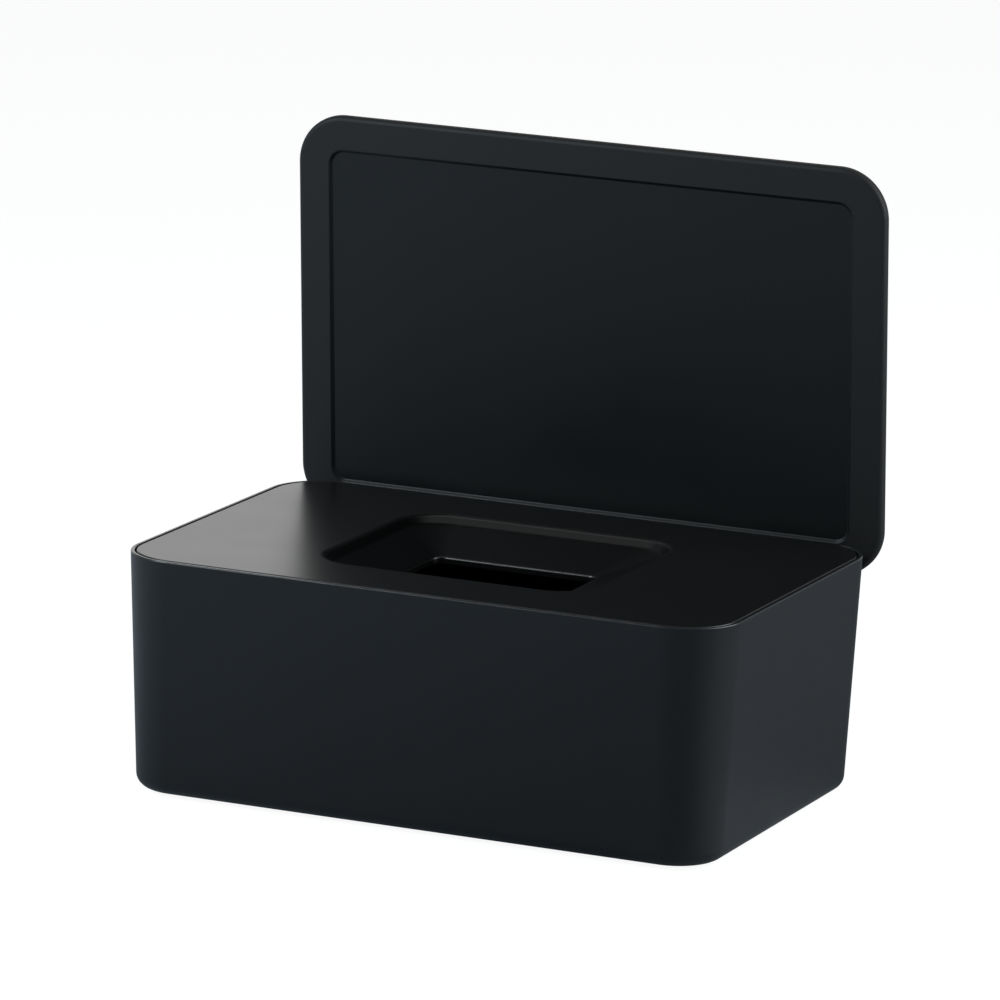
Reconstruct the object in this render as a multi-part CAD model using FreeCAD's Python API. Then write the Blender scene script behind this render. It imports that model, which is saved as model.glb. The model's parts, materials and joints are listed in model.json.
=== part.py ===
import FreeCAD, Part
import math
import os

# A countertop box for wet wipes, in millimetres with Z up.
# A tapered tub carries a cover with a bowl and a hole, and a flat lid hinges on the cover's back edge.
# Each piece is built about the middle of the tub, with zero height under the tub and the lid shut.
# The last lines open the lid and set the box on its feet, with the origin under its middle.

# Tub: the sides lean out towards the top, and a thin rim goes round the cover
tub_width = 190.0
tub_length = 126.0
tub_height = 70.5
tub_corner = 18.0
tub_lean = 3.0
tub_wall = 2.8
tub_floor = 2.6
tub_bottom_round = 4.0
tub_inside_round = 3.0
rim_thick = 1.2
rim_round = 0.4

# Cover: a plate inside the rim, with a skirt inside the tub's wall and a bowl round the hole
cover_thick = 2.2
cover_gap = 0.5
cover_round = 0.5
skirt_drop = 5.0
skirt_thick = 1.6
skirt_gap = 0.4
bowl_width = 87.0
bowl_length = 76.0
bowl_sink = 7.3
bowl_corner = 14.0
bowl_wall = 2.0
hole_width = 52.0
hole_length = 28.0
hole_corner = 3.0
hole_round = 0.6

# The bowl's wall from the lip to the hole: how far in, and how far down
bowl_wall_in = 2.7
bowl_wall_drop = 2.4
bowl_lip_round = 2.5
bowl_foot_round = 3.0

# Lid: a flat panel with a shallow recess in its inner face
lid_side_in = 0.5
lid_end_in = 1.0
lid_thick = 4.0
lid_corner = 15.0
lid_round = 1.5
lid_border = 10.0
lid_recess = 0.8
recess_slope = 1.2
recess_corner = 5.0
lid_gap = 0.8
lid_open_angle = 85.6

# Hinge: two hooked lugs on the lid turn on steel pins in brackets under the cover's back edge
hinge_side_in = 35.0
pin_in = 4.57
pin_drop = 7.74
pin_radius = 1.5
pin_gap = 0.05
pin_inset = 0.2
lug_width = 11.6
lug_radius = 3.0
lug_neck = 1.8
lug_web = 3.0
lug_gap = 0.4
stop_gap = 0.15
swing_gap = 0.25
cheek_thick = 2.8
bracket_wall = 1.6
notch_gap = 0.35

# Feet: round pads let into the tub's underside
foot_radius = 8.0
foot_thick = 1.6
foot_sink = 0.8
foot_gap = 0.1
foot_round = 0.5
foot_inset = 24.0

# How far cuts run past what they cut, and how closely two heights count as one
overrun = 3.0
same_height = 0.01

# Places that follow from the sizes
ledge_height = tub_height - cover_thick
cover_width = tub_width - 2 * (rim_thick + cover_gap)
cover_length = tub_length - 2 * (rim_thick + cover_gap)
cover_corner = tub_corner - rim_thick - cover_gap
cover_back = cover_length / 2
lid_width = tub_width - 2 * lid_side_in
lid_length = tub_length - 2 * lid_end_in
lid_base = tub_height + lid_gap
lid_back = lid_length / 2
pin_y = lid_back - pin_in
pin_z = lid_base - pin_drop
pocket_width = lug_width + 2 * lug_gap
pocket_front = pin_y - lug_radius - lug_gap
pocket_roof = pin_z + lug_radius + lug_gap
bracket_width = pocket_width + 2 * cheek_thick
bracket_front = pocket_front - bracket_wall

UP = FreeCAD.Vector(0, 0, 1)
ACROSS = FreeCAD.Vector(1, 0, 0)
PIN_CENTRE = FreeCAD.Vector(0, pin_y, pin_z)


def rounded_outline(width, length, corner, height):
    """A rectangle with round corners about the middle, at one height."""
    half_x = width / 2 - corner
    half_y = length / 2 - corner
    arcs = []
    for quarter, (side_x, side_y) in enumerate(((1, 1), (-1, 1), (-1, -1), (1, -1))):
        centre = FreeCAD.Vector(side_x * half_x, side_y * half_y, height)
        start = quarter * math.pi / 2
        arcs.append(Part.ArcOfCircle(Part.Circle(centre, UP, corner), start, start + math.pi / 2).toShape())
    edges = []
    for this_arc, next_arc in zip(arcs, arcs[1:] + arcs[:1]):
        side = Part.LineSegment(this_arc.lastVertex().Point, next_arc.firstVertex().Point).toShape()
        edges += [this_arc, side]
    return Part.Wire(edges)


def prism(outline, height):
    return Part.Face(outline).extrude(UP * height)


def box_between(width, front, back, bottom, top, middle_x=0.0):
    corner = FreeCAD.Vector(middle_x - width / 2, front, bottom)
    return Part.makeBox(width, back - front, top - bottom, corner)


def rod_across(radius, length, centre, middle_x=0.0):
    start = centre + ACROSS * (middle_x - length / 2)
    return Part.makeCylinder(radius, length, start, ACROSS)


def edges_at(shape, height):
    """The edges that lie wholly at one height."""
    found = []
    for edge in shape.Edges:
        extent = edge.BoundBox
        if abs(extent.ZMin - height) < same_height and abs(extent.ZMax - height) < same_height:
            found.append(edge)
    return found


def lip_edges(shape):
    """The bowl's lip, among the edges level with the cover's top."""
    half = bowl_length / 2 + same_height
    return [edge for edge in edges_at(shape, tub_height) if abs(edge.CenterOfMass.y) < half]


def tub_outline(inset, height):
    """The tub's outside at a height, drawn in by an inset."""
    drawn_in = inset + tub_lean * (1 - height / tub_height)
    return rounded_outline(tub_width - 2 * drawn_in, tub_length - 2 * drawn_in, tub_corner - drawn_in, height)


def swing_cut():
    """What the back edge loses so that the lid's inner face can swing past it."""
    top = tub_height + overrun
    back = tub_length / 2 + overrun
    width = tub_width + overrun
    outside = box_between(width, pin_y, back, pin_z, top)
    return outside.cut(rod_across(pin_drop - swing_gap, width + overrun, PIN_CENTRE))


def pocket_floor(y):
    """The height of the bracket's sloping floor, on which the open lug rests."""
    lean = math.radians(90 - lid_open_angle)
    return pin_z - (pin_in + stop_gap) / math.cos(lean) + (y - pin_y) * math.tan(lean)


def hinge_middles():
    """Where the middles of the two lugs lie across the tub."""
    right = tub_width / 2 - hinge_side_in
    return (-right, right)


def foot_middles():
    """The feet's places by name, set in from the edges of the tub's underside."""
    x = tub_width / 2 - tub_lean - foot_inset
    y = tub_length / 2 - tub_lean - foot_inset
    return {
        "foot_front_left": (-x, -y),
        "foot_front_right": (x, -y),
        "foot_back_left": (-x, y),
        "foot_back_right": (x, y),
    }


def make_tub():
    body = Part.makeLoft([tub_outline(0, 0), tub_outline(0, tub_height)], True, True)
    body = body.makeFillet(tub_bottom_round, edges_at(body, 0))
    inside = Part.makeLoft(
        [tub_outline(tub_wall, tub_floor), tub_outline(tub_wall, tub_height + overrun)], True, True
    )
    inside = inside.makeFillet(tub_inside_round, edges_at(inside, tub_floor))
    rebate = Part.makeLoft(
        [tub_outline(rim_thick, ledge_height), tub_outline(rim_thick, tub_height + overrun)], True, True
    )
    body = body.cut(inside).cut(rebate)
    body = body.makeFillet(rim_round, edges_at(body, tub_height))
    body = body.cut(swing_cut())
    notch_width = bracket_width + 2 * notch_gap
    notch_bottom = pocket_floor(pocket_front) - bracket_wall - notch_gap
    for middle in hinge_middles():
        notch = box_between(
            notch_width, bracket_front, tub_length / 2 + overrun, notch_bottom, tub_height + overrun, middle
        )
        body = body.cut(notch)
    for x, y in foot_middles().values():
        below = FreeCAD.Vector(x, y, -overrun)
        seat = Part.makeCylinder(foot_radius + foot_gap, foot_sink + overrun, below, UP)
        body = body.cut(seat)
    return body


def bowl_loft(thickness):
    """The bowl's hollow, or with a thickness the larger form under its wall."""
    floor_run = (bowl_length - hole_length) / 2 - bowl_wall_in
    wall_slope = math.atan2(bowl_wall_drop, bowl_wall_in)
    floor_slope = math.atan2(bowl_sink - bowl_wall_drop, floor_run)
    foot_width, foot_length = bowl_width - 2 * bowl_wall_in, bowl_length - 2 * bowl_wall_in
    outlines = []
    for width, length, corner, sink, slope in (
        (bowl_width, bowl_length, bowl_corner, 0, wall_slope / 2),
        (foot_width, foot_length, bowl_corner - bowl_wall_in, bowl_wall_drop, (wall_slope + floor_slope) / 2),
        (hole_width, hole_length, hole_corner, bowl_sink, floor_slope),
    ):
        wider = thickness * math.sin(slope)
        height = tub_height - sink - thickness * math.cos(slope)
        outlines.append(rounded_outline(width + 2 * wider, length + 2 * wider, corner + wider, height))
    return Part.makeLoft(outlines, True, True)


def bowl_hollow():
    """The bowl's hollow, with its soft turn from wall to floor."""
    hollow = bowl_loft(0)
    return hollow.makeFillet(bowl_foot_round, edges_at(hollow, tub_height - bowl_wall_drop))


def make_bracket(middle):
    """A block with a pocket for the lug, open to the back, and a cheek on each side for the pin."""
    floor_front = pocket_floor(pocket_front)
    top = ledge_height + cover_thick / 2
    block = box_between(bracket_width, bracket_front, cover_back, floor_front - bracket_wall, top, middle)
    back = cover_back + overrun
    side = FreeCAD.Vector(middle - pocket_width / 2, 0, 0)
    corners = [
        side + FreeCAD.Vector(0, pocket_front, floor_front),
        side + FreeCAD.Vector(0, back, pocket_floor(back)),
        side + FreeCAD.Vector(0, back, pocket_roof),
        side + FreeCAD.Vector(0, pocket_front, pocket_roof),
    ]
    pocket = Part.Face(Part.makePolygon(corners + corners[:1])).extrude(ACROSS * pocket_width)
    return block, pocket


def make_cover():
    plate = prism(rounded_outline(cover_width, cover_length, cover_corner, ledge_height), cover_thick)
    plate = plate.makeFillet(cover_round, edges_at(plate, tub_height))
    skirt_bottom = ledge_height - skirt_drop
    skirt = prism(tub_outline(tub_wall + skirt_gap, skirt_bottom), skirt_drop + cover_thick / 2)
    skirt_hollow = prism(tub_outline(tub_wall + skirt_gap + skirt_thick, skirt_bottom), skirt_drop)
    cover = plate.fuse(skirt.cut(skirt_hollow)).fuse(bowl_loft(bowl_wall))
    for middle in hinge_middles():
        block, pocket = make_bracket(middle)
        neck_front = lid_back - lug_neck - lug_gap
        neck_slot = box_between(
            pocket_width, neck_front, cover_back + overrun, pin_z, tub_height + overrun, middle
        )
        cover = cover.fuse(block).cut(pocket).cut(neck_slot)
        cover = cover.cut(rod_across(pin_radius, bracket_width + overrun, PIN_CENTRE, middle))
    hole_top = tub_height - bowl_sink
    hole_bottom = hole_top - bowl_wall - overrun
    hole = prism(rounded_outline(hole_width, hole_length, hole_corner, hole_bottom), hole_top - hole_bottom)
    cover = cover.cut(bowl_hollow().fuse(hole))
    cover = cover.makeFillet(hole_round, edges_at(cover, hole_top))
    cover = cover.makeFillet(bowl_lip_round, lip_edges(cover))
    return cover.cut(swing_cut())


def make_lug(middle):
    """A hook from the lid's back edge down and forward to the pin."""
    end_centre = FreeCAD.Vector(0, lid_back - lug_web / 2, pin_z)
    neck = box_between(lug_width, lid_back - lug_neck, lid_back, pin_z, lid_base + lid_thick / 2, middle)
    web = box_between(lug_width, pin_y, end_centre.y, pin_z - lug_web / 2, pin_z + lug_web / 2, middle)
    web_end = rod_across(lug_web / 2, lug_width, end_centre, middle)
    boss = rod_across(lug_radius, lug_width, PIN_CENTRE, middle)
    return neck.fuse([web, web_end, boss])


def make_lid():
    panel = prism(rounded_outline(lid_width, lid_length, lid_corner, lid_base), lid_thick)
    panel = panel.makeFillet(lid_round, edges_at(panel, lid_base) + edges_at(panel, lid_base + lid_thick))
    recess_width = lid_width - 2 * lid_border
    recess_length = lid_length - 2 * lid_border
    recess = Part.makeLoft(
        [
            rounded_outline(recess_width, recess_length, recess_corner, lid_base),
            rounded_outline(
                recess_width - 2 * recess_slope,
                recess_length - 2 * recess_slope,
                recess_corner - recess_slope,
                lid_base + lid_recess,
            ),
        ],
        True,
        True,
    )
    lid = panel.cut(recess)
    for middle in hinge_middles():
        bore = rod_across(pin_radius + pin_gap, lug_width + overrun, PIN_CENTRE, middle)
        lid = lid.fuse(make_lug(middle)).cut(bore)
    return lid


def make_pin(middle):
    return rod_across(pin_radius, bracket_width - 2 * pin_inset, PIN_CENTRE, middle)


def make_foot(x, y):
    bottom = foot_sink - foot_thick
    pad = Part.makeCylinder(foot_radius, foot_thick, FreeCAD.Vector(x, y, bottom), UP)
    return pad.makeFillet(foot_round, edges_at(pad, bottom))


pieces = {"tub": make_tub(), "dispensing_cover": make_cover(), "lid": make_lid()}
for pin_name, pin_middle in zip(("hinge_pin_left", "hinge_pin_right"), hinge_middles()):
    pieces[pin_name] = make_pin(pin_middle)
for foot_name, (foot_x, foot_y) in foot_middles().items():
    pieces[foot_name] = make_foot(foot_x, foot_y)

# The lid opens about its pins
pieces["lid"].rotate(PIN_CENTRE, ACROSS, -lid_open_angle)

# The whole box goes onto its feet, with the origin under the middle of its outside
whole = FreeCAD.BoundBox()
for piece in pieces.values():
    whole.add(piece.optimalBoundingBox(False, False))
to_frame = FreeCAD.Vector(-whole.Center.x, -whole.Center.y, foot_thick - foot_sink)

os.makedirs("parts", exist_ok=True)
for name, piece in pieces.items():
    solid = piece.removeSplitter()
    solid.translate(to_frame)
    solid.exportStep("parts/" + name + ".step")
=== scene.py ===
import json
import math

import bmesh
import bpy
from mathutils import Matrix, Vector


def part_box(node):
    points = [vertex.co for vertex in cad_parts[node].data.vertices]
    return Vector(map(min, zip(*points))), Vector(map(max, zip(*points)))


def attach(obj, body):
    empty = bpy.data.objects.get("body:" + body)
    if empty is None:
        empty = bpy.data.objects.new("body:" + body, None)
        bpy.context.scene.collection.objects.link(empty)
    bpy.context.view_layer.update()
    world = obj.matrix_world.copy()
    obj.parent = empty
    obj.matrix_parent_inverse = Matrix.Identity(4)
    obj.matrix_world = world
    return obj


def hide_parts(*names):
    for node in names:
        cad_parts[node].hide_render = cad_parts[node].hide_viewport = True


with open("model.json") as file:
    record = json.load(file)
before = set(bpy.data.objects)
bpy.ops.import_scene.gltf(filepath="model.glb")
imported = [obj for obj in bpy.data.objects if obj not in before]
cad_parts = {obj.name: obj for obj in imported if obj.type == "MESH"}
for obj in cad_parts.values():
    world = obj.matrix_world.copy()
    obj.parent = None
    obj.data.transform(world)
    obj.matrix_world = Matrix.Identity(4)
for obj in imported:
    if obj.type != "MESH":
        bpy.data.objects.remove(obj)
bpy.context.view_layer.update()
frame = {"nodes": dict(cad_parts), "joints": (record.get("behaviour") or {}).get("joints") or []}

mm = 0.001

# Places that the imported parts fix: the tub's middle, what it stands on, and the hinge
feetBoxes = [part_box(name) for name in frame["nodes"] if name.startswith("foot")]
tubMiddle = sum((low + high for low, high in feetBoxes), Vector()) / (2 * len(feetBoxes))
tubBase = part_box("tub")[0].z
hingeJoint = next(joint for joint in frame["joints"] if joint["name"] == "lid_hinge")
pinPlace = Vector(hingeJoint["pos_m"])
openAngle = math.radians(hingeJoint["range_deg"][1])
lugMiddles = [(low.x + high.x) / 2 for low, high in map(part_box, ("hinge_pin_left", "hinge_pin_right"))]


# Small helpers for node trees

def addNode(tree, kind, **settings):
    node = tree.nodes.new(kind)
    for name, value in settings.items():
        setattr(node, name, value)
    return node


def feed(tree, socket, value):
    if isinstance(value, bpy.types.NodeSocket):
        tree.links.new(value, socket)
    else:
        socket.default_value = value


def doMath(tree, operation, *values):
    node = addNode(tree, "ShaderNodeMath", operation=operation)
    for socket, value in zip(node.inputs, values):
        feed(tree, socket, value)
    return node.outputs[0]


def blend(tree, factor, first, second):
    choice = addNode(tree, "ShaderNodeMix", data_type="RGBA")
    feed(tree, choice.inputs["Factor"], factor)
    for socket, colour in (("A", first), ("B", second)):
        feed(tree, choice.inputs[socket], (*colour, 1) if isinstance(colour, tuple) else colour)
    return choice.outputs["Result"]


def noiseLevel(tree, place, scale, detail=2.0, roughness=0.5):
    noise = addNode(tree, "ShaderNodeTexNoise")
    feed(tree, noise.inputs["Vector"], place)
    for name, value in (("Scale", scale), ("Detail", detail), ("Roughness", roughness)):
        noise.inputs[name].default_value = value
    return noise.outputs["Fac"]


# The shapes of the tub, cover and lid follow one rule: rings of rounded rectangles, one inside or above the
# other, joined into a skin. The tree reads each ring's half sizes, corner and height from a point.

ringFacts = ("halfX", "halfY", "corner", "height")
weldDistance = 0.002 * mm
sliverWidth = 0.001 * mm


def ringSkinTree():
    tree = bpy.data.node_groups.new("ringSkin", "GeometryNodeTree")
    for name, kind in (
        ("Rings", "NodeSocketGeometry"),
        ("Corner steps", "NodeSocketInt"),
        ("Middle X", "NodeSocketFloat"),
        ("Middle Y", "NodeSocketFloat"),
        ("Swing radius", "NodeSocketFloat"),
        ("Pin Y", "NodeSocketFloat"),
        ("Pin Z", "NodeSocketFloat"),
        ("Merge distance", "NodeSocketFloat"),
        ("Material", "NodeSocketMaterial"),
    ):
        tree.interface.new_socket(name=name, in_out="INPUT", socket_type=kind)
    tree.interface.new_socket(name="Skin", in_out="OUTPUT", socket_type="NodeSocketGeometry")
    given = addNode(tree, "NodeGroupInput").outputs

    count = addNode(tree, "GeometryNodeAttributeDomainSize", component="MESH")
    feed(tree, count.inputs["Geometry"], given["Rings"])
    perCorner = doMath(tree, "ADD", given["Corner steps"], 1)
    around = doMath(tree, "MULTIPLY", perCorner, 4)
    columns = doMath(tree, "ADD", around, 1)
    grid = addNode(tree, "GeometryNodeMeshGrid")
    feed(tree, grid.inputs["Vertices X"], count.outputs["Point Count"])
    feed(tree, grid.inputs["Vertices Y"], columns)

    # which ring a point is on, and how far round it
    index = addNode(tree, "GeometryNodeInputIndex").outputs[0]
    ring = doMath(tree, "FLOOR", doMath(tree, "DIVIDE", doMath(tree, "ADD", index, 0.5), columns))
    column = doMath(tree, "SUBTRACT", index, doMath(tree, "MULTIPLY", ring, columns))
    place = doMath(tree, "FLOORED_MODULO", column, around)
    quarter = doMath(tree, "FLOOR", doMath(tree, "DIVIDE", doMath(tree, "ADD", place, 0.5), perCorner))
    step = doMath(tree, "SUBTRACT", place, doMath(tree, "MULTIPLY", quarter, perCorner))
    turned = doMath(tree, "ADD", quarter, doMath(tree, "DIVIDE", step, given["Corner steps"]))
    angle = doMath(tree, "MULTIPLY", turned, math.pi / 2)
    diagonal = doMath(tree, "MULTIPLY", doMath(tree, "ADD", quarter, 0.5), math.pi / 2)

    fact = {}
    for name in ringFacts:
        stored = addNode(tree, "GeometryNodeInputNamedAttribute", data_type="FLOAT")
        stored.inputs["Name"].default_value = name
        sample = addNode(tree, "GeometryNodeSampleIndex", data_type="FLOAT", domain="POINT")
        feed(tree, sample.inputs["Geometry"], given["Rings"])
        feed(tree, sample.inputs["Value"], stored.outputs["Attribute"])
        feed(tree, sample.inputs["Index"], ring)
        fact[name] = sample.outputs["Value"]

    def alongAxis(half, wave):
        side = doMath(tree, "SIGN", doMath(tree, wave, diagonal))
        straight = doMath(tree, "MULTIPLY", side, doMath(tree, "SUBTRACT", half, fact["corner"]))
        return doMath(tree, "MULTIPLY_ADD", fact["corner"], doMath(tree, wave, angle), straight)

    x = doMath(tree, "ADD", alongAxis(fact["halfX"], "COSINE"), given["Middle X"])
    y = doMath(tree, "ADD", alongAxis(fact["halfY"], "SINE"), given["Middle Y"])

    # behind the hinge pins nothing stands higher than the arc that the lid's face swings round
    behind = doMath(tree, "MAXIMUM", doMath(tree, "SUBTRACT", y, given["Pin Y"]), 0.0)
    radiusSquared = doMath(tree, "MULTIPLY", given["Swing radius"], given["Swing radius"])
    riseSquared = doMath(tree, "SUBTRACT", radiusSquared, doMath(tree, "MULTIPLY", behind, behind))
    rise = doMath(tree, "SQRT", doMath(tree, "MAXIMUM", riseSquared, 0.0))
    z = doMath(tree, "MINIMUM", fact["height"], doMath(tree, "ADD", given["Pin Z"], rise))

    point = addNode(tree, "ShaderNodeCombineXYZ")
    for socket, value in zip(point.inputs, (x, y, z)):
        feed(tree, socket, value)
    setPlace = addNode(tree, "GeometryNodeSetPosition")
    feed(tree, setPlace.inputs["Geometry"], grid.outputs["Mesh"])
    feed(tree, setPlace.inputs["Position"], point.outputs[0])
    merge = addNode(tree, "GeometryNodeMergeByDistance")
    feed(tree, merge.inputs["Geometry"], setPlace.outputs[0])
    feed(tree, merge.inputs["Distance"], given["Merge distance"])
    smooth = addNode(tree, "GeometryNodeSetShadeSmooth")
    feed(tree, smooth.inputs["Geometry"], merge.outputs[0])
    real = addNode(tree, "GeometryNodeRealizeInstances")
    feed(tree, real.inputs["Geometry"], smooth.outputs[0])
    finish = addNode(tree, "GeometryNodeSetMaterial")
    feed(tree, finish.inputs["Geometry"], real.outputs[0])
    feed(tree, finish.inputs["Material"], given["Material"])
    feed(tree, addNode(tree, "NodeGroupOutput").inputs["Skin"], finish.outputs[0])
    return tree


ringSkin = ringSkinTree()


def plainMesh(obj):
    # the evaluated object as a mesh of its own, with no modifiers left
    graph = bpy.context.evaluated_depsgraph_get()
    mesh = bpy.data.meshes.new_from_object(obj.evaluated_get(graph))
    obj.modifiers.clear()
    obj.data = mesh
    return obj


def ringPiece(name, rings, material, cornerSteps, swingRadius):
    mesh = bpy.data.meshes.new(name)
    mesh.from_pydata([(0, 0, ring[3]) for ring in rings], [], [])
    for number, fact in enumerate(ringFacts):
        stored = mesh.attributes.new(fact, "FLOAT", "POINT")
        stored.data.foreach_set("value", [ring[number] for ring in rings])
    obj = bpy.data.objects.new(name, mesh)
    bpy.context.scene.collection.objects.link(obj)
    modifier = obj.modifiers.new("ringSkin", "NODES")
    modifier.node_group = ringSkin
    chosen = {
        "Corner steps": cornerSteps,
        "Middle X": tubMiddle.x,
        "Middle Y": tubMiddle.y,
        "Swing radius": swingRadius,
        "Pin Y": pinPlace.y,
        "Pin Z": pinPlace.z,
        "Merge distance": weldDistance,
        "Material": material,
    }
    for item in ringSkin.interface.items_tree:
        if item.in_out == "INPUT" and item.name in chosen:
            modifier[item.identifier] = chosen[item.name]
    bpy.context.view_layer.update()
    plainMesh(obj)
    turnOutwards(obj.data)
    return obj


def turnOutwards(mesh):
    work = bmesh.new()
    work.from_mesh(mesh)
    bmesh.ops.dissolve_degenerate(work, dist=sliverWidth, edges=work.edges)
    bmesh.ops.recalc_face_normals(work, faces=work.faces)
    work.to_mesh(mesh)
    work.free()


def arc(steps, start, end):
    # angles from start to end in degrees, as (sine, cosine)
    turns = [math.radians(start + (end - start) * step / steps) for step in range(steps + 1)]
    return [(math.sin(turn), math.cos(turn)) for turn in turns]


# Solids that cut or join the ring pieces

def looseObject(name, work):
    mesh = bpy.data.meshes.new(name)
    bmesh.ops.recalc_face_normals(work, faces=work.faces)
    work.to_mesh(mesh)
    work.free()
    obj = bpy.data.objects.new(name, mesh)
    bpy.context.scene.collection.objects.link(obj)
    return obj


def acrossSolid(name, outline, middleX, width):
    # an outline of (y, z) points drawn out along X
    work = bmesh.new()
    ends = []
    for side in (-1, 1):
        ends.append([work.verts.new((middleX + side * width / 2, y, z)) for y, z in outline])
    work.faces.new(ends[0])
    work.faces.new(ends[1])
    for number in range(len(outline)):
        after = (number + 1) % len(outline)
        work.faces.new((ends[0][number], ends[0][after], ends[1][after], ends[1][number]))
    return looseObject(name, work)


def sideBox(front, back, bottom, top):
    return [(front, bottom), (back, bottom), (back, top), (front, top)]


def roundOutline(radius, centre, steps=32):
    return [(centre.y + radius * s, centre.z + radius * c) for s, c in arc(steps, 0, 360)[:-1]]


def shape(obj, *changes):
    # changes are (operation, solid) pairs, made in turn; the solids go afterwards
    for operation, solid in changes:
        modifier = obj.modifiers.new(operation, "BOOLEAN")
        modifier.operation = operation
        modifier.solver = "EXACT"
        modifier.object = solid
        solid.hide_render = True
    bpy.context.view_layer.update()
    plainMesh(obj)
    for _, solid in changes:
        bpy.data.objects.remove(solid)
    return obj


def dressPiece(obj, finishes, whichFinish, sharpAngle=32):
    # the plastics, hard edges where the surface really turns, and even shading on the flats
    obj.data.materials.clear()
    for finish in finishes:
        obj.data.materials.append(finish)
    work = bmesh.new()
    work.from_mesh(obj.data)
    for face in work.faces:
        face.smooth = True
        face.material_index = whichFinish(face)
    for edge in work.edges:
        edge.smooth = edge.calc_face_angle(0) < math.radians(sharpAngle)
    work.to_mesh(obj.data)
    work.free()
    even = obj.modifiers.new("evenFlats", "WEIGHTED_NORMAL")
    even.keep_sharp = True
    return obj


# Materials

tubTones = ((0.0082, 0.0104, 0.0124), (0.0098, 0.0124, 0.0147))
coverTones = ((0.0003, 0.0004, 0.0004), (0.0006, 0.0007, 0.0007))
# the lid's border gets a much lighter base colour than its recessed panel: a painted sheen on the same dark
# plastic
borderToneAndSheen = ((0.0135, 0.0148, 0.0155), (0.016, 0.0175, 0.0183))
panelTones = ((0.0052, 0.007, 0.0083), (0.0062, 0.0083, 0.0098))

plasticLooks = {
    "tubPlastic": {
        "tones": tubTones, "roughness": 0.45, "spread": 0.04, "specular": 0.4, "grain": 1.0, "coat": 0.0,
    },
    "rimPlastic": {
        "tones": tubTones, "roughness": 0.3, "spread": 0.02, "specular": 0.5, "grain": 0.15, "coat": 0.6,
    },
    "coverPlastic": {
        "tones": coverTones, "roughness": 0.32, "spread": 0.015, "specular": 0.5, "grain": 0.15, "coat": 0.55,
    },
    "bowlPlastic": {
        "tones": coverTones, "roughness": 0.3, "spread": 0.015, "specular": 0.3, "grain": 0.15, "coat": 0.2,
    },
    "borderPlastic": {
        "tones": borderToneAndSheen, "roughness": 0.58, "spread": 0.04, "specular": 0.4, "grain": 0.7, "coat": 0.0,
    },
    "panelPlastic": {
        "tones": panelTones, "roughness": 0.46, "spread": 0.04, "specular": 0.38, "grain": 0.7, "coat": 0.0,
    },
}

plasticGrain = {
    "grainSize": 0.35 * mm,
    "grainDepth": 0.018 * mm,
    "grainDetail": 2,
    "grainRoughness": 0.6,
    "grainShare": 0.35,
    "mottleSize": 18 * mm,
    "mottleDetail": 3,
    "glossSpan": (0.4, 0.95),
    "refraction": 1.5,
}


def mouldedPlastic(name):
    look, grain = plasticLooks[name], plasticGrain
    material = bpy.data.materials.new(name)
    material.use_nodes = True
    tree = material.node_tree
    tree.nodes.clear()
    coords = addNode(tree, "ShaderNodeTexCoord").outputs["Object"]

    # slow mottle, as flow in a moulded part, and the mould's fine texture
    mottle = noiseLevel(tree, coords, 1 / grain["mottleSize"], grain["mottleDetail"])
    texture = noiseLevel(tree, coords, 1 / grain["grainSize"], grain["grainDetail"], grain["grainRoughness"])

    # both vary the gloss, and the texture is raised
    gloss = addNode(tree, "ShaderNodeMapRange")
    feed(tree, gloss.inputs["Value"], doMath(tree, "MULTIPLY_ADD", texture, grain["grainShare"], mottle))
    for socket, value in zip(("From Min", "From Max"), grain["glossSpan"]):
        gloss.inputs[socket].default_value = value
    gloss.inputs["To Min"].default_value = look["roughness"] - look["spread"]
    gloss.inputs["To Max"].default_value = look["roughness"] + look["spread"]
    bump = addNode(tree, "ShaderNodeBump")
    bump.inputs["Strength"].default_value = look["grain"]
    bump.inputs["Distance"].default_value = grain["grainDepth"] * look["grain"]
    feed(tree, bump.inputs["Height"], texture)

    shader = addNode(tree, "ShaderNodeBsdfPrincipled")
    feed(tree, shader.inputs["Base Color"], blend(tree, mottle, *look["tones"]))
    feed(tree, shader.inputs["Roughness"], gloss.outputs["Result"])
    feed(tree, shader.inputs["Normal"], bump.outputs["Normal"])
    shader.inputs["IOR"].default_value = grain["refraction"]
    shader.inputs["Specular IOR Level"].default_value = look["specular"]
    shader.inputs["Coat Weight"].default_value = look["coat"]
    shader.inputs["Coat Roughness"].default_value = look["roughness"]
    feed(tree, addNode(tree, "ShaderNodeOutputMaterial").inputs["Surface"], shader.outputs[0])
    return material


tubPlastic, rimPlastic, coverPlastic, bowlPlastic, borderPlastic, panelPlastic = (
    mouldedPlastic(name) for name in plasticLooks
)

steelLook = {
    "lineScale": (4000, 300, 300),
    "tones": ((0.46, 0.46, 0.47), (0.62, 0.62, 0.63)),
    "roughness": 0.22,
    "spread": 0.15,
}


def groundSteel():
    material = bpy.data.materials.new("groundSteel")
    material.use_nodes = True
    tree = material.node_tree
    shader = tree.nodes["Principled BSDF"]
    stretch = addNode(tree, "ShaderNodeMapping")
    stretch.inputs["Scale"].default_value = steelLook["lineScale"]
    feed(tree, stretch.inputs["Vector"], addNode(tree, "ShaderNodeTexCoord").outputs["Object"])
    lines = noiseLevel(tree, stretch.outputs["Vector"], 1)
    roughness = doMath(tree, "MULTIPLY_ADD", lines, steelLook["spread"], steelLook["roughness"])
    feed(tree, shader.inputs["Base Color"], blend(tree, lines, *steelLook["tones"]))
    feed(tree, shader.inputs["Roughness"], roughness)
    shader.inputs["Metallic"].default_value = 1
    return material


siliconeLook = {
    "speckleSize": 0.5 * mm,
    "speckleDepth": 0.02 * mm,
    "tones": ((0.028, 0.028, 0.029), (0.045, 0.045, 0.046)),
    "roughness": 0.62,
    "spread": 0.2,
}


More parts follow.
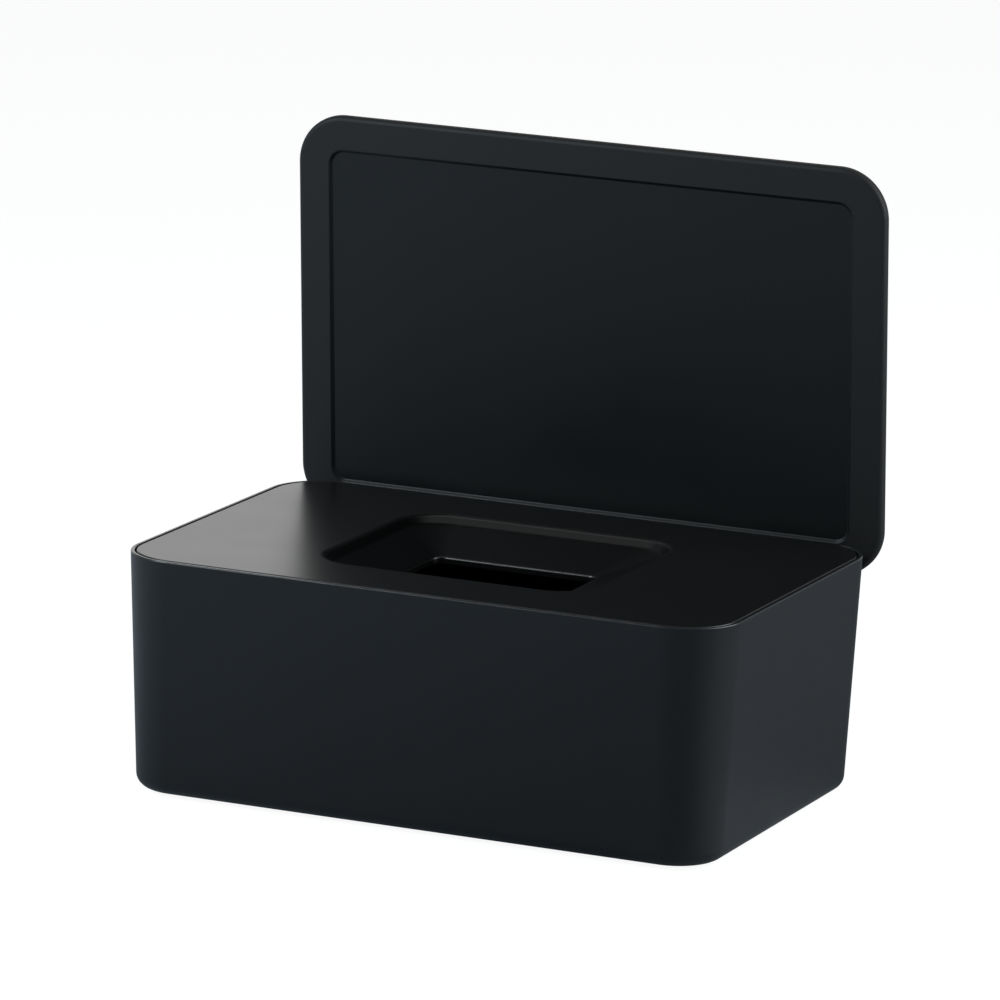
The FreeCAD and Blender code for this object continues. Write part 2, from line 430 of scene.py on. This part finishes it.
def softSilicone():
    material = bpy.data.materials.new("softSilicone")
    material.use_nodes = True
    tree = material.node_tree
    shader = tree.nodes["Principled BSDF"]
    coords = addNode(tree, "ShaderNodeTexCoord").outputs["Object"]
    speckle = noiseLevel(tree, coords, 1 / siliconeLook["speckleSize"])
    roughness = doMath(tree, "MULTIPLY_ADD", speckle, siliconeLook["spread"], siliconeLook["roughness"])
    feed(tree, shader.inputs["Base Color"], blend(tree, speckle, *siliconeLook["tones"]))
    feed(tree, shader.inputs["Roughness"], roughness)
    bump = addNode(tree, "ShaderNodeBump")
    bump.inputs["Distance"].default_value = siliconeLook["speckleDepth"]
    feed(tree, bump.inputs["Height"], speckle)
    feed(tree, shader.inputs["Normal"], bump.outputs["Normal"])
    return material


print("materials ready")

# Hinge: where the lid turns, and what turns with it

hinge = {
    "pinIn": 4.57 * mm,
    "pinDrop": 7.74 * mm,
    "pinRadius": 1.5 * mm,
    "pinGap": 0.05 * mm,
    "lugWidth": 11.6 * mm,
    "lugRadius": 3.0 * mm,
    "lugNeck": 1.8 * mm,
    "lugWeb": 3.0 * mm,
    "lugGap": 0.4 * mm,
    "stopGap": 0.15 * mm,
    "swingGap": 0.25 * mm,
    "cheek": 2.8 * mm,
    "bracketWall": 1.6 * mm,
    "notchGap": 0.35 * mm,
    "filletSteps": 8,
    "bossSteps": 36,
}
swingRadius = hinge["pinDrop"] - hinge["swingGap"]
pocketWidth = hinge["lugWidth"] + 2 * hinge["lugGap"]
bracketWidth = pocketWidth + 2 * hinge["cheek"]
pocketFront = pinPlace.y - hinge["lugRadius"] - hinge["lugGap"]
bracketFront = pocketFront - hinge["bracketWall"]
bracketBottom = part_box("dispensing_cover")[0].z
past = 3 * mm  # how far cuts run past what they cut

# Tub

tub = {
    "width": 190 * mm,
    "length": 126 * mm,
    "height": 70.5 * mm,
    "corner": 18 * mm,
    "lean": 3 * mm,
    "wall": 2.8 * mm,
    "floor": 2.6 * mm,
    "bottomRound": 4 * mm,
    "insideRound": 3 * mm,
    "rim": 1.2 * mm,
    "rimRound": 0.4 * mm,
    "footGap": 0.1 * mm,
    "cornerSteps": 24,
    "roundSteps": 8,
    "seatSteps": 96,
}
tubTop = tubBase + tub["height"]
tubBack = tubMiddle.y + tub["length"] / 2


def tubRing(inset, height):
    drawnIn = inset + tub["lean"] * (1 - height / tub["height"])
    corner = max(tub["corner"] - drawnIn, 0)
    return (tub["width"] / 2 - drawnIn, tub["length"] / 2 - drawnIn, corner, tubBase + height)


def tubRings(coverThick):
    wall, top, steps = tub["wall"], tub["height"], tub["roundSteps"]
    outer, inner, edge = tub["bottomRound"], tub["insideRound"], tub["rimRound"]
    rings = [(0, 0, 0, tubBase), tubRing(outer, 0)]
    rings += [tubRing(outer * (1 - s), outer * (1 - c)) for s, c in arc(steps, 0, 90)[1:]]
    rings += [tubRing(edge * (1 - c), top - edge * (1 - s)) for s, c in arc(steps, 0, 90)]
    rings += [tubRing(tub["rim"] - edge * (1 - s), top - edge * (1 - c)) for s, c in arc(steps, 0, 90)]
    rings += [tubRing(tub["rim"], top - coverThick), tubRing(wall, top - coverThick)]
    floor = tub["floor"]
    rings += [tubRing(wall + inner * (1 - c), floor + inner * (1 - s)) for s, c in arc(steps, 0, 90)]
    return rings + [(0, 0, 0, tubBase + floor)]


def footSeat(low, high):
    # a cylinder that cuts the shallow round seat for one foot
    radius = (high.x - low.x) / 2 + tub["footGap"]
    work = bmesh.new()
    middle = Matrix.Translation(((low.x + high.x) / 2, (low.y + high.y) / 2, low.z))
    bmesh.ops.create_cone(work, cap_ends=True, segments=tub["seatSteps"], radius1=radius, radius2=radius,
                          depth=2 * (high.z - low.z), matrix=middle)
    return looseObject("footSeat", work)


def makeTub(coverThick):
    piece = ringPiece("tubShell", tubRings(coverThick), tubPlastic, tub["cornerSteps"], swingRadius)
    cuts = []
    notchWidth = bracketWidth + 2 * hinge["notchGap"]
    notchBottom = bracketBottom - hinge["notchGap"]
    for middle in lugMiddles:
        outline = sideBox(bracketFront, tubBack + past, notchBottom, tubTop + past)
        cuts.append(("DIFFERENCE", acrossSolid("notch", outline, middle, notchWidth)))
    cuts += [("DIFFERENCE", footSeat(*box)) for box in feetBoxes]
    shape(piece, *cuts)

    def onRim(face):
        return int(face.calc_center_median().z > tubTop - tub["rimRound"])

    dressPiece(piece, (tubPlastic, rimPlastic), onRim)
    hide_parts("tub")
    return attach(piece, "tub")


# Cover, with its bowl and hole

cover = {
    "thick": 2.2 * mm,
    "gap": 0.5 * mm,
    "edgeRound": 0.5 * mm,
    "skirtDrop": 5 * mm,
    "skirtThick": 1.6 * mm,
    "skirtGap": 0.4 * mm,
    "bowlHalf": (43.5 * mm, 38 * mm, 14 * mm),  # half the width, half the length, corner
    "holeHalf": (26 * mm, 14 * mm, 3 * mm),
    "sink": 7.3 * mm,
    "wall": 2 * mm,
    "holeRound": 0.6 * mm,
    "wallIn": 2.7 * mm,
    "wallDrop": 2.4 * mm,
    "lipRound": 2.5 * mm,
    "footRound": 3 * mm,
    "cornerSteps": 24,
}
wallSlope = math.atan2(cover["wallDrop"], cover["wallIn"])
floorDrop = cover["sink"] - cover["wallDrop"]
floorSlopes = [
    math.atan2(floorDrop, lip - cover["wallIn"] - hole)
    for lip, hole in zip(cover["bowlHalf"][:2], cover["holeHalf"])
]
footDepth = cover["footRound"] * math.tan((wallSlope - floorSlopes[1]) / 2)


def bowlInset(depth, floorSlope):
    # how far the bowl's side has come in at a depth: soft lip, wall, soft foot, floor
    lip, foot = cover["lipRound"], cover["footRound"]
    footRun = foot * math.tan((wallSlope - floorSlope) / 2)
    if depth < lip * (1 - math.cos(wallSlope)):
        return lip * (math.sin(math.acos(1 - depth / lip)) - math.tan(wallSlope / 2))
    start = cover["wallDrop"] - footRun * math.sin(wallSlope)
    if depth < start:
        return depth / math.tan(wallSlope)
    if depth < cover["wallDrop"] + footRun * math.sin(floorSlope):
        turned = math.acos(math.cos(wallSlope) + (depth - start) / foot)
        return start / math.tan(wallSlope) + foot * (math.sin(wallSlope) - math.sin(turned))
    return cover["wallIn"] + (depth - cover["wallDrop"]) / math.tan(floorSlope)


def bowlRing(depth):
    insets = [bowlInset(depth, slope) for slope in floorSlopes]
    share = max(depth - cover["wallDrop"], 0) / floorDrop
    footCorner = cover["bowlHalf"][2] - cover["wallIn"]
    corner = cover["bowlHalf"][2] - bowlInset(depth, floorSlopes[1])
    if share:
        corner = footCorner + (cover["holeHalf"][2] - footCorner) * share
    halves = [half - inset for half, inset in zip(cover["bowlHalf"], insets)]
    return (*halves, corner, tubTop - depth)


def bowlDepths(steps):
    # close together round the lip and the foot
    lip, drop = cover["lipRound"], cover["wallDrop"]
    depths = [lip * (1 - math.cos(wallSlope * step / steps)) for step in range(steps + 1)]
    start = drop - footDepth * math.sin(wallSlope)
    end = drop + footDepth * math.sin(floorSlopes[1])
    depths += [start + (end - start) * step / steps for step in range(steps + 1)]
    return depths + [cover["sink"] - cover["holeRound"] * math.tan(floorSlopes[1])]


def underBowl():
    # rings under the bowl, from the hole out to the plate's underside
    wall, plateBottom = cover["wall"], tubTop - cover["thick"]
    lip, hole = cover["bowlHalf"], cover["holeHalf"]
    outlines = []
    for sizes, depth, slope in (
        (hole, cover["sink"], floorSlopes[1]),
        ([size - cover["wallIn"] for size in lip], cover["wallDrop"], (wallSlope + floorSlopes[1]) / 2),
        (lip, 0, wallSlope / 2),
    ):
        wider = wall * math.sin(slope)
        outlines.append((*(size + wider for size in sizes), tubTop - depth - wall * math.cos(slope)))
    foot, top = outlines[1:]
    share = (plateBottom - foot[3]) / (top[3] - foot[3])
    meeting = tuple(a + (b - a) * share for a, b in zip(foot, top))
    return [(*hole, outlines[0][3]), outlines[0], foot, meeting]


def coverRings():
    edge, steps = cover["edgeRound"], tub["roundSteps"]
    inset = tub["rim"] + cover["gap"]
    outer = (tub["width"] / 2 - inset, tub["length"] / 2 - inset, tub["corner"] - inset)
    plateBottom = tubTop - cover["thick"]
    swingStart = pinPlace.y + math.sqrt(swingRadius ** 2 - (tubTop - pinPlace.z) ** 2)

    def plateRing(drawnIn, height):
        return (*(size - drawnIn for size in outer), height)

    rings = [plateRing(0, plateBottom)]
    rings += [plateRing(edge * (1 - c), tubTop - edge * (1 - s)) for s, c in arc(steps, 0, 90)]
    rings.append(plateRing(tubMiddle.y + outer[1] - swingStart, tubTop))
    rings += [bowlRing(depth) for depth in bowlDepths(steps)]
    hole, soft = cover["holeHalf"], cover["holeRound"]
    holeTop = tubTop - cover["sink"]
    for s, c in arc(steps, 0, 90)[1:]:
        height = holeTop + soft * ((1 - s) * math.tan(floorSlopes[1]) + c - 1)
        rings.append((*(size + soft * (1 - s) for size in hole), height))
    rings += underBowl()
    skirtBottom = tub["height"] - cover["thick"] - cover["skirtDrop"]
    skirtOut = tubRing(tub["wall"] + cover["skirtGap"], skirtBottom)[:3]
    skirtIn = [size - cover["skirtThick"] for size in skirtOut]
    for sizes, height in (
        (skirtIn, plateBottom),
        (skirtIn, tubBase + skirtBottom),
        (skirtOut, tubBase + skirtBottom),
        (skirtOut, plateBottom),
    ):
        rings.append((*sizes, height))
    return rings + [rings[0]]


def pocketOutline():
    # the bracket's pocket from the side: its floor slopes with the open lug
    lean = math.pi / 2 - openAngle
    back = tubBack + past

    def floorAt(y):
        drop = (hinge["pinIn"] + hinge["stopGap"]) / math.cos(lean)
        return pinPlace.z - drop + (y - pinPlace.y) * math.tan(lean)

    roof = pinPlace.z + hinge["lugRadius"] + hinge["lugGap"]
    return [(pocketFront, floorAt(pocketFront)), (back, floorAt(back)), (back, roof), (pocketFront, roof)]


def makeCover():
    piece = ringPiece("coverPlate", coverRings(), coverPlastic, cover["cornerSteps"], swingRadius)
    coverBack = tubBack - tub["rim"] - cover["gap"]
    blockTop = tubTop - cover["thick"] / 2  # inside the plate
    neckFront = tubBack - lid["endIn"] - hinge["lugNeck"] - hinge["lugGap"]
    changes = []
    for middle in lugMiddles:
        block = sideBox(bracketFront, coverBack, bracketBottom, blockTop)
        neckSlot = sideBox(neckFront, coverBack + past, pinPlace.z, tubTop + past)
        pinHole = roundOutline(hinge["pinRadius"], pinPlace)
        changes += [
            ("UNION", acrossSolid("bracket", block, middle, bracketWidth)),
            ("DIFFERENCE", acrossSolid("pocket", pocketOutline(), middle, pocketWidth)),
            ("DIFFERENCE", acrossSolid("neckSlot", neckSlot, middle, pocketWidth)),
            ("DIFFERENCE", acrossSolid("pinHole", pinHole, middle, bracketWidth + past)),
        ]
    shape(piece, *changes)
    lipDrop = cover["lipRound"] * (1 - math.cos(wallSlope))

    def inBowl(face):
        # the bowl's wall and floor, below its soft lip
        middle = face.calc_center_median()
        inside = abs(middle.x) < cover["bowlHalf"][0] and abs(middle.y - tubMiddle.y) < cover["bowlHalf"][1]
        return int(inside and face.normal.z > 0 and tubTop - cover["sink"] < middle.z < tubTop - lipDrop)

    dressPiece(piece, (coverPlastic, bowlPlastic), inBowl)
    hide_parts("dispensing_cover")
    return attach(piece, "cover")


# Lid, built shut and then opened about the pins

lid = {
    "sideIn": 0.5 * mm,
    "endIn": 1.0 * mm,
    "thick": 4 * mm,
    "corner": 15 * mm,
    "edgeRound": 1.5 * mm,
    "border": 10 * mm,
    "recess": 0.8 * mm,
    "recessSlope": 1.2 * mm,
    "recessCorner": 5 * mm,
    "gap": 0.8 * mm,
    "cornerSteps": 24,
    "roundSteps": 10,
}
lidBase = tubTop + lid["gap"]
lidHalf = (tub["width"] / 2 - lid["sideIn"], tub["length"] / 2 - lid["endIn"])
freeSwing = 1.0  # a swing radius so wide that it trims nothing


def lidRings():
    edge, top = lid["edgeRound"], lidBase + lid["thick"]

    def panelRing(drawnIn, height, corner=None):
        if corner is None:
            corner = lid["corner"] - drawnIn
        return (*(half - drawnIn for half in lidHalf), corner, height)

    rings = [(0, 0, 0, lidBase + lid["recess"])]
    steps = lid["roundSteps"]
    for step in range(steps + 1):
        share = step / steps
        drawnIn = lid["border"] + lid["recessSlope"] * (1 - share)
        corner = lid["recessCorner"] - lid["recessSlope"] * (1 - share)
        height = lidBase + lid["recess"] * (1 + math.cos(math.pi * share)) / 2
        rings.append(panelRing(drawnIn, height, corner))
    rings += [panelRing(edge * (1 - s), lidBase + edge * (1 - c)) for s, c in arc(steps, 0, 90)]
    rings += [panelRing(edge * (1 - c), top - edge * (1 - s)) for s, c in arc(steps, 0, 90)]
    return rings + [(0, 0, 0, top)]


def lugOutline():
    # the hooked lug from the side, round the pin
    web, radius, neck = hinge["lugWeb"] / 2, hinge["lugRadius"], hinge["lugNeck"]
    back, top = hinge["pinIn"], hinge["pinDrop"] + lid["thick"] / 2
    front = back - neck
    bossStart = 180 - math.degrees(math.acos(-web / radius))
    bossEnd = math.degrees(math.acos(front / radius))
    points = [(back, top)]
    points += [(back - web + web * c, web * s) for s, c in arc(hinge["filletSteps"], 0, -90)]
    around = arc(hinge["bossSteps"], -90 + bossStart, bossEnd - 360)
    points += [(radius * c, radius * s) for s, c in around]
    points.append((front, top))
    return [(pinPlace.y + y, pinPlace.z + z) for y, z in points]


def makeLid():
    piece = ringPiece("lidPanel", lidRings(), borderPlastic, lid["cornerSteps"], freeSwing)
    changes = []
    boreRadius = hinge["pinRadius"] + hinge["pinGap"]
    for middle in lugMiddles:
        changes.append(("UNION", acrossSolid("lug", lugOutline(), middle, hinge["lugWidth"])))
        bore = acrossSolid("bore", roundOutline(boreRadius, pinPlace), middle, hinge["lugWidth"] + past)
        changes.append(("DIFFERENCE", bore))
    shape(piece, *changes)
    panelHalf = [half - lid["border"] for half in lidHalf]
    panelTop = lidBase + lid["recess"] + lid["thick"] / 4  # above the recess, and far below the outer face

    def onPanel(face):
        middle = face.calc_center_median()
        inside = abs(middle.x) < panelHalf[0] and abs(middle.y - tubMiddle.y) < panelHalf[1]
        return int(inside and lidBase < middle.z < panelTop)

    # the border's finish carries a painted sheen in its lighter base colour
    dressPiece(piece, (borderPlastic, panelPlastic), onPanel)
    opened = Matrix.Rotation(-openAngle, 4, "X")
    piece.data.transform(Matrix.Translation(pinPlace) @ opened @ Matrix.Translation(-pinPlace))
    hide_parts("lid")
    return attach(piece, "lid")


makeTub(cover["thick"])
print("tub made")
makeCover()
print("cover made")
makeLid()
print("lid made")


def paint(nodeName, material):
    node = frame["nodes"][nodeName]
    node.data.materials.clear()
    node.data.materials.append(material)


steel = groundSteel()
silicone = softSilicone()
for nodeName in frame["nodes"]:
    if nodeName.startswith("hinge_pin"):
        paint(nodeName, steel)
    if nodeName.startswith("foot"):
        paint(nodeName, silicone)
print("pins and feet painted")

# Floor, surroundings and lamps

stageLook = {
    "floorSize": 8.0,
    "floorColour": (0.83, 0.86, 0.89),
    "floorMottle": 60,
    "floorMottleShare": 0.02,
    "cameraWhite": 0.93,
    "cameraShadeShare": 0.25,
    "glossShadeShare": 0.2,
    # what the glossy plastic sees of the ground is a painted reflection: pale and dark patches that stand in
    # for light and shade on the ground
    "glossLeft": (0.38, 0.45, 0.51),
    "glossRight": (0.03, 0.05, 0.07),
    "glossAcross": (-0.35, 0.15),  # along X, from the left colour to the right one
    "glossSide": (0.22, 0.25, 0.28),
    "glossBack": (0.1, 0.12, 0.14),
    "glossPast": (0.08, 0.14),  # from the ground beside the box to the ground behind it
    "glossSkew": 0.7,
    "glossTurn": (-0.03, 0.04),  # from the ground in front to the ground beside
    "glossFar": (0.4, 0.5, 0.6),
    "glossAway": (-0.25, -0.7),  # along Y, where the ground in front turns pale
    "worldFront": (0.08, 0.09, 0.1),
    "worldBack": (1.0, 1.0, 1.0),
    "worldSkew": -0.9,  # how fast the white behind fades with height
    "worldRight": (0.1, -1.5),  # where it starts to fade to the right, and how fast
    "worldTurn": (0.1, 0.6),
    "worldRise": (0.4, 0.75),  # how high the dark overhead starts
    "worldTop": (0.01, 0.011, 0.012),
}


def fade(tree, place, ends, first, second):
    # a colour that goes smoothly from the first to the second between the two ends
    level = addNode(tree, "ShaderNodeMapRange", interpolation_type="SMOOTHSTEP")
    feed(tree, level.inputs["Value"], place)
    level.inputs["From Min"].default_value, level.inputs["From Max"].default_value = ends
    return blend(tree, level.outputs["Result"], first, second)


def makeFloor():
    work = bmesh.new()
    half = stageLook["floorSize"] / 2
    corners = [work.verts.new((x * half, y * half, 0)) for x, y in ((-1, -1), (1, -1), (1, 1), (-1, 1))]
    work.faces.new(corners)
    floor = looseObject("floor", work)
    material = bpy.data.materials.new("paleFloor")
    material.use_nodes = True
    tree = material.node_tree
    tree.nodes.clear()
    rays = addNode(tree, "ShaderNodeLightPath").outputs
    coords = addNode(tree, "ShaderNodeTexCoord").outputs["Object"]
    mottle = noiseLevel(tree, coords, stageLook["floorMottle"])
    glossy = doMath(tree, "MAXIMUM", rays["Is Glossy Ray"], rays["Is Transmission Ray"])

    # the lit floor, which carries the shadow: all of it for soft light, a share of it for what is seen
    shade = doMath(tree, "MULTIPLY_ADD", rays["Is Camera Ray"], stageLook["cameraShadeShare"] - 1, 1)
    shade = doMath(tree, "MULTIPLY_ADD", glossy, stageLook["glossShadeShare"] - 1, shade)
    share = stageLook["floorMottleShare"]
    level = doMath(tree, "MULTIPLY_ADD", mottle, share, 1 - share)
    colour = addNode(tree, "ShaderNodeVectorMath", operation="SCALE")
    colour.inputs["Vector"].default_value = stageLook["floorColour"]
    feed(tree, colour.inputs["Scale"], doMath(tree, "MULTIPLY", shade, level))
    diffuse = addNode(tree, "ShaderNodeBsdfDiffuse")
    feed(tree, diffuse.inputs["Color"], colour.outputs["Vector"])

    # and the ground's own glow: white for the camera, and for the glossy plastic a painted reflection, pale
    # and dark patches standing in for light and shade on the ground
    place = addNode(tree, "ShaderNodeSeparateXYZ")
    feed(tree, place.inputs[0], coords)
    across, left, right = (stageLook[name] for name in ("glossAcross", "glossLeft", "glossRight"))
    inFront = fade(tree, place.outputs["X"], across, left, right)
    inFront = fade(tree, place.outputs["Y"], stageLook["glossAway"], inFront, stageLook["glossFar"])
    skewed = doMath(tree, "MULTIPLY_ADD", place.outputs["X"], stageLook["glossSkew"], place.outputs["Y"])
    beside = fade(tree, skewed, stageLook["glossPast"], stageLook["glossSide"], stageLook["glossBack"])
    paintedReflection = fade(tree, skewed, stageLook["glossTurn"], inFront, beside)
    ground = blend(tree, rays["Is Camera Ray"], paintedReflection, (stageLook["cameraWhite"],) * 3)
    own = addNode(tree, "ShaderNodeEmission")
    feed(tree, own.inputs["Color"], ground)
    feed(tree, own.inputs["Strength"], doMath(tree, "MAXIMUM", glossy, rays["Is Camera Ray"]))
    both = addNode(tree, "ShaderNodeAddShader")
    feed(tree, both.inputs[0], diffuse.outputs[0])
    feed(tree, both.inputs[1], own.outputs[0])
    feed(tree, addNode(tree, "ShaderNodeOutputMaterial").inputs["Surface"], both.outputs[0])
    floor.data.materials.append(material)


def makeSurroundings():
    # white behind the box and to the camera, dimmer in front and dark overhead
    world = bpy.data.worlds.new("studio")
    bpy.context.scene.world = world
    world.use_nodes = True
    tree = world.node_tree
    tree.nodes.clear()
    rays = addNode(tree, "ShaderNodeLightPath").outputs
    way = addNode(tree, "ShaderNodeSeparateXYZ")
    feed(tree, way.inputs[0], addNode(tree, "ShaderNodeTexCoord").outputs["Generated"])
    height = doMath(tree, "MULTIPLY_ADD", way.outputs["Z"], stageLook["worldSkew"], way.outputs["Y"])
    start, slope = stageLook["worldRight"]
    toRight = doMath(tree, "MAXIMUM", doMath(tree, "ADD", way.outputs["X"], start), 0.0)
    place = doMath(tree, "MULTIPLY_ADD", toRight, slope, height)
    around = fade(tree, place, stageLook["worldTurn"], stageLook["worldFront"], stageLook["worldBack"])
    around = fade(tree, way.outputs["Z"], stageLook["worldRise"], around, stageLook["worldTop"])
    background = addNode(tree, "ShaderNodeBackground")
    feed(tree, background.inputs["Color"], blend(tree, rays["Is Camera Ray"], around, (1, 1, 1)))
    feed(tree, addNode(tree, "ShaderNodeOutputWorld").inputs["Surface"], background.outputs[0])


lamps = (
    {
        "name": "keyLeft", "from": (-0.52, -0.5, 0.56), "size": (0.3, 0.3), "power": 3.5,
        "colour": (0.86, 0.95, 1.0),
    },
    {
        "name": "sideRight", "from": (1.0, 0.3, 0.55), "size": (1.0, 1.0), "power": 9.5,
        "colour": (0.93, 0.98, 1.0),
    },
    {
        "name": "overhead", "from": (0.0, 0.02, 1.2), "size": (2.0, 0.6), "power": 2.2,
        "colour": (1.0, 1.0, 1.0),
    },
)


def makeLamps():
    for lamp in lamps:
        light = bpy.data.lights.new(lamp["name"], "AREA")
        light.shape = "RECTANGLE"
        light.size, light.size_y = lamp["size"]
        light.energy = lamp["power"]
        light.color = lamp["colour"]
        obj = bpy.data.objects.new(lamp["name"], light)
        bpy.context.scene.collection.objects.link(obj)
        obj.location = lamp["from"]
        obj.visible_camera = False
        aim = Vector((0, 0, tubTop)) - Vector(lamp["from"])
        obj.rotation_euler = aim.to_track_quat("-Z", "Y").to_euler()


makeFloor()
makeSurroundings()
makeLamps()
print("floor and light ready")

# Camera, as the photograph was taken

camera = {
    "azimuth": 23.66,
    "elevation": 12.43,
    "roll": 1.71,
    "distance": 2145.81 * mm,
    "aimHeight": 85.82 * mm,
    "lens": 265.65,
    "sensor": 36,
    "clipRatio": 100,
}


def makeCamera():
    azimuth, elevation, roll = (math.radians(camera[name]) for name in ("azimuth", "elevation", "roll"))
    back = Vector((
        math.sin(azimuth) * math.cos(elevation), -math.cos(azimuth) * math.cos(elevation), math.sin(elevation)
    ))
    level = Vector((math.cos(azimuth), math.sin(azimuth), 0))
    upright = back.cross(level)
    right = math.cos(roll) * level + math.sin(roll) * upright
    up = math.cos(roll) * upright - math.sin(roll) * level
    aim = Vector((tubMiddle.x, tubMiddle.y, tubBase + camera["aimHeight"]))
    place = aim + back * camera["distance"]
    data = bpy.data.cameras.new("camera")
    data.lens = camera["lens"]
    data.sensor_width = camera["sensor"]
    data.clip_start = camera["distance"] / camera["clipRatio"]
    data.clip_end = camera["distance"] * camera["clipRatio"]
    obj = bpy.data.objects.new("camera", data)
    bpy.context.scene.collection.objects.link(obj)
    turn = Matrix((right, up, back)).transposed().to_4x4()
    obj.matrix_world = Matrix.Translation(place) @ turn
    bpy.context.scene.camera = obj


makeCamera()
bpy.context.scene.view_settings.view_transform = "Standard"
print("camera ready")
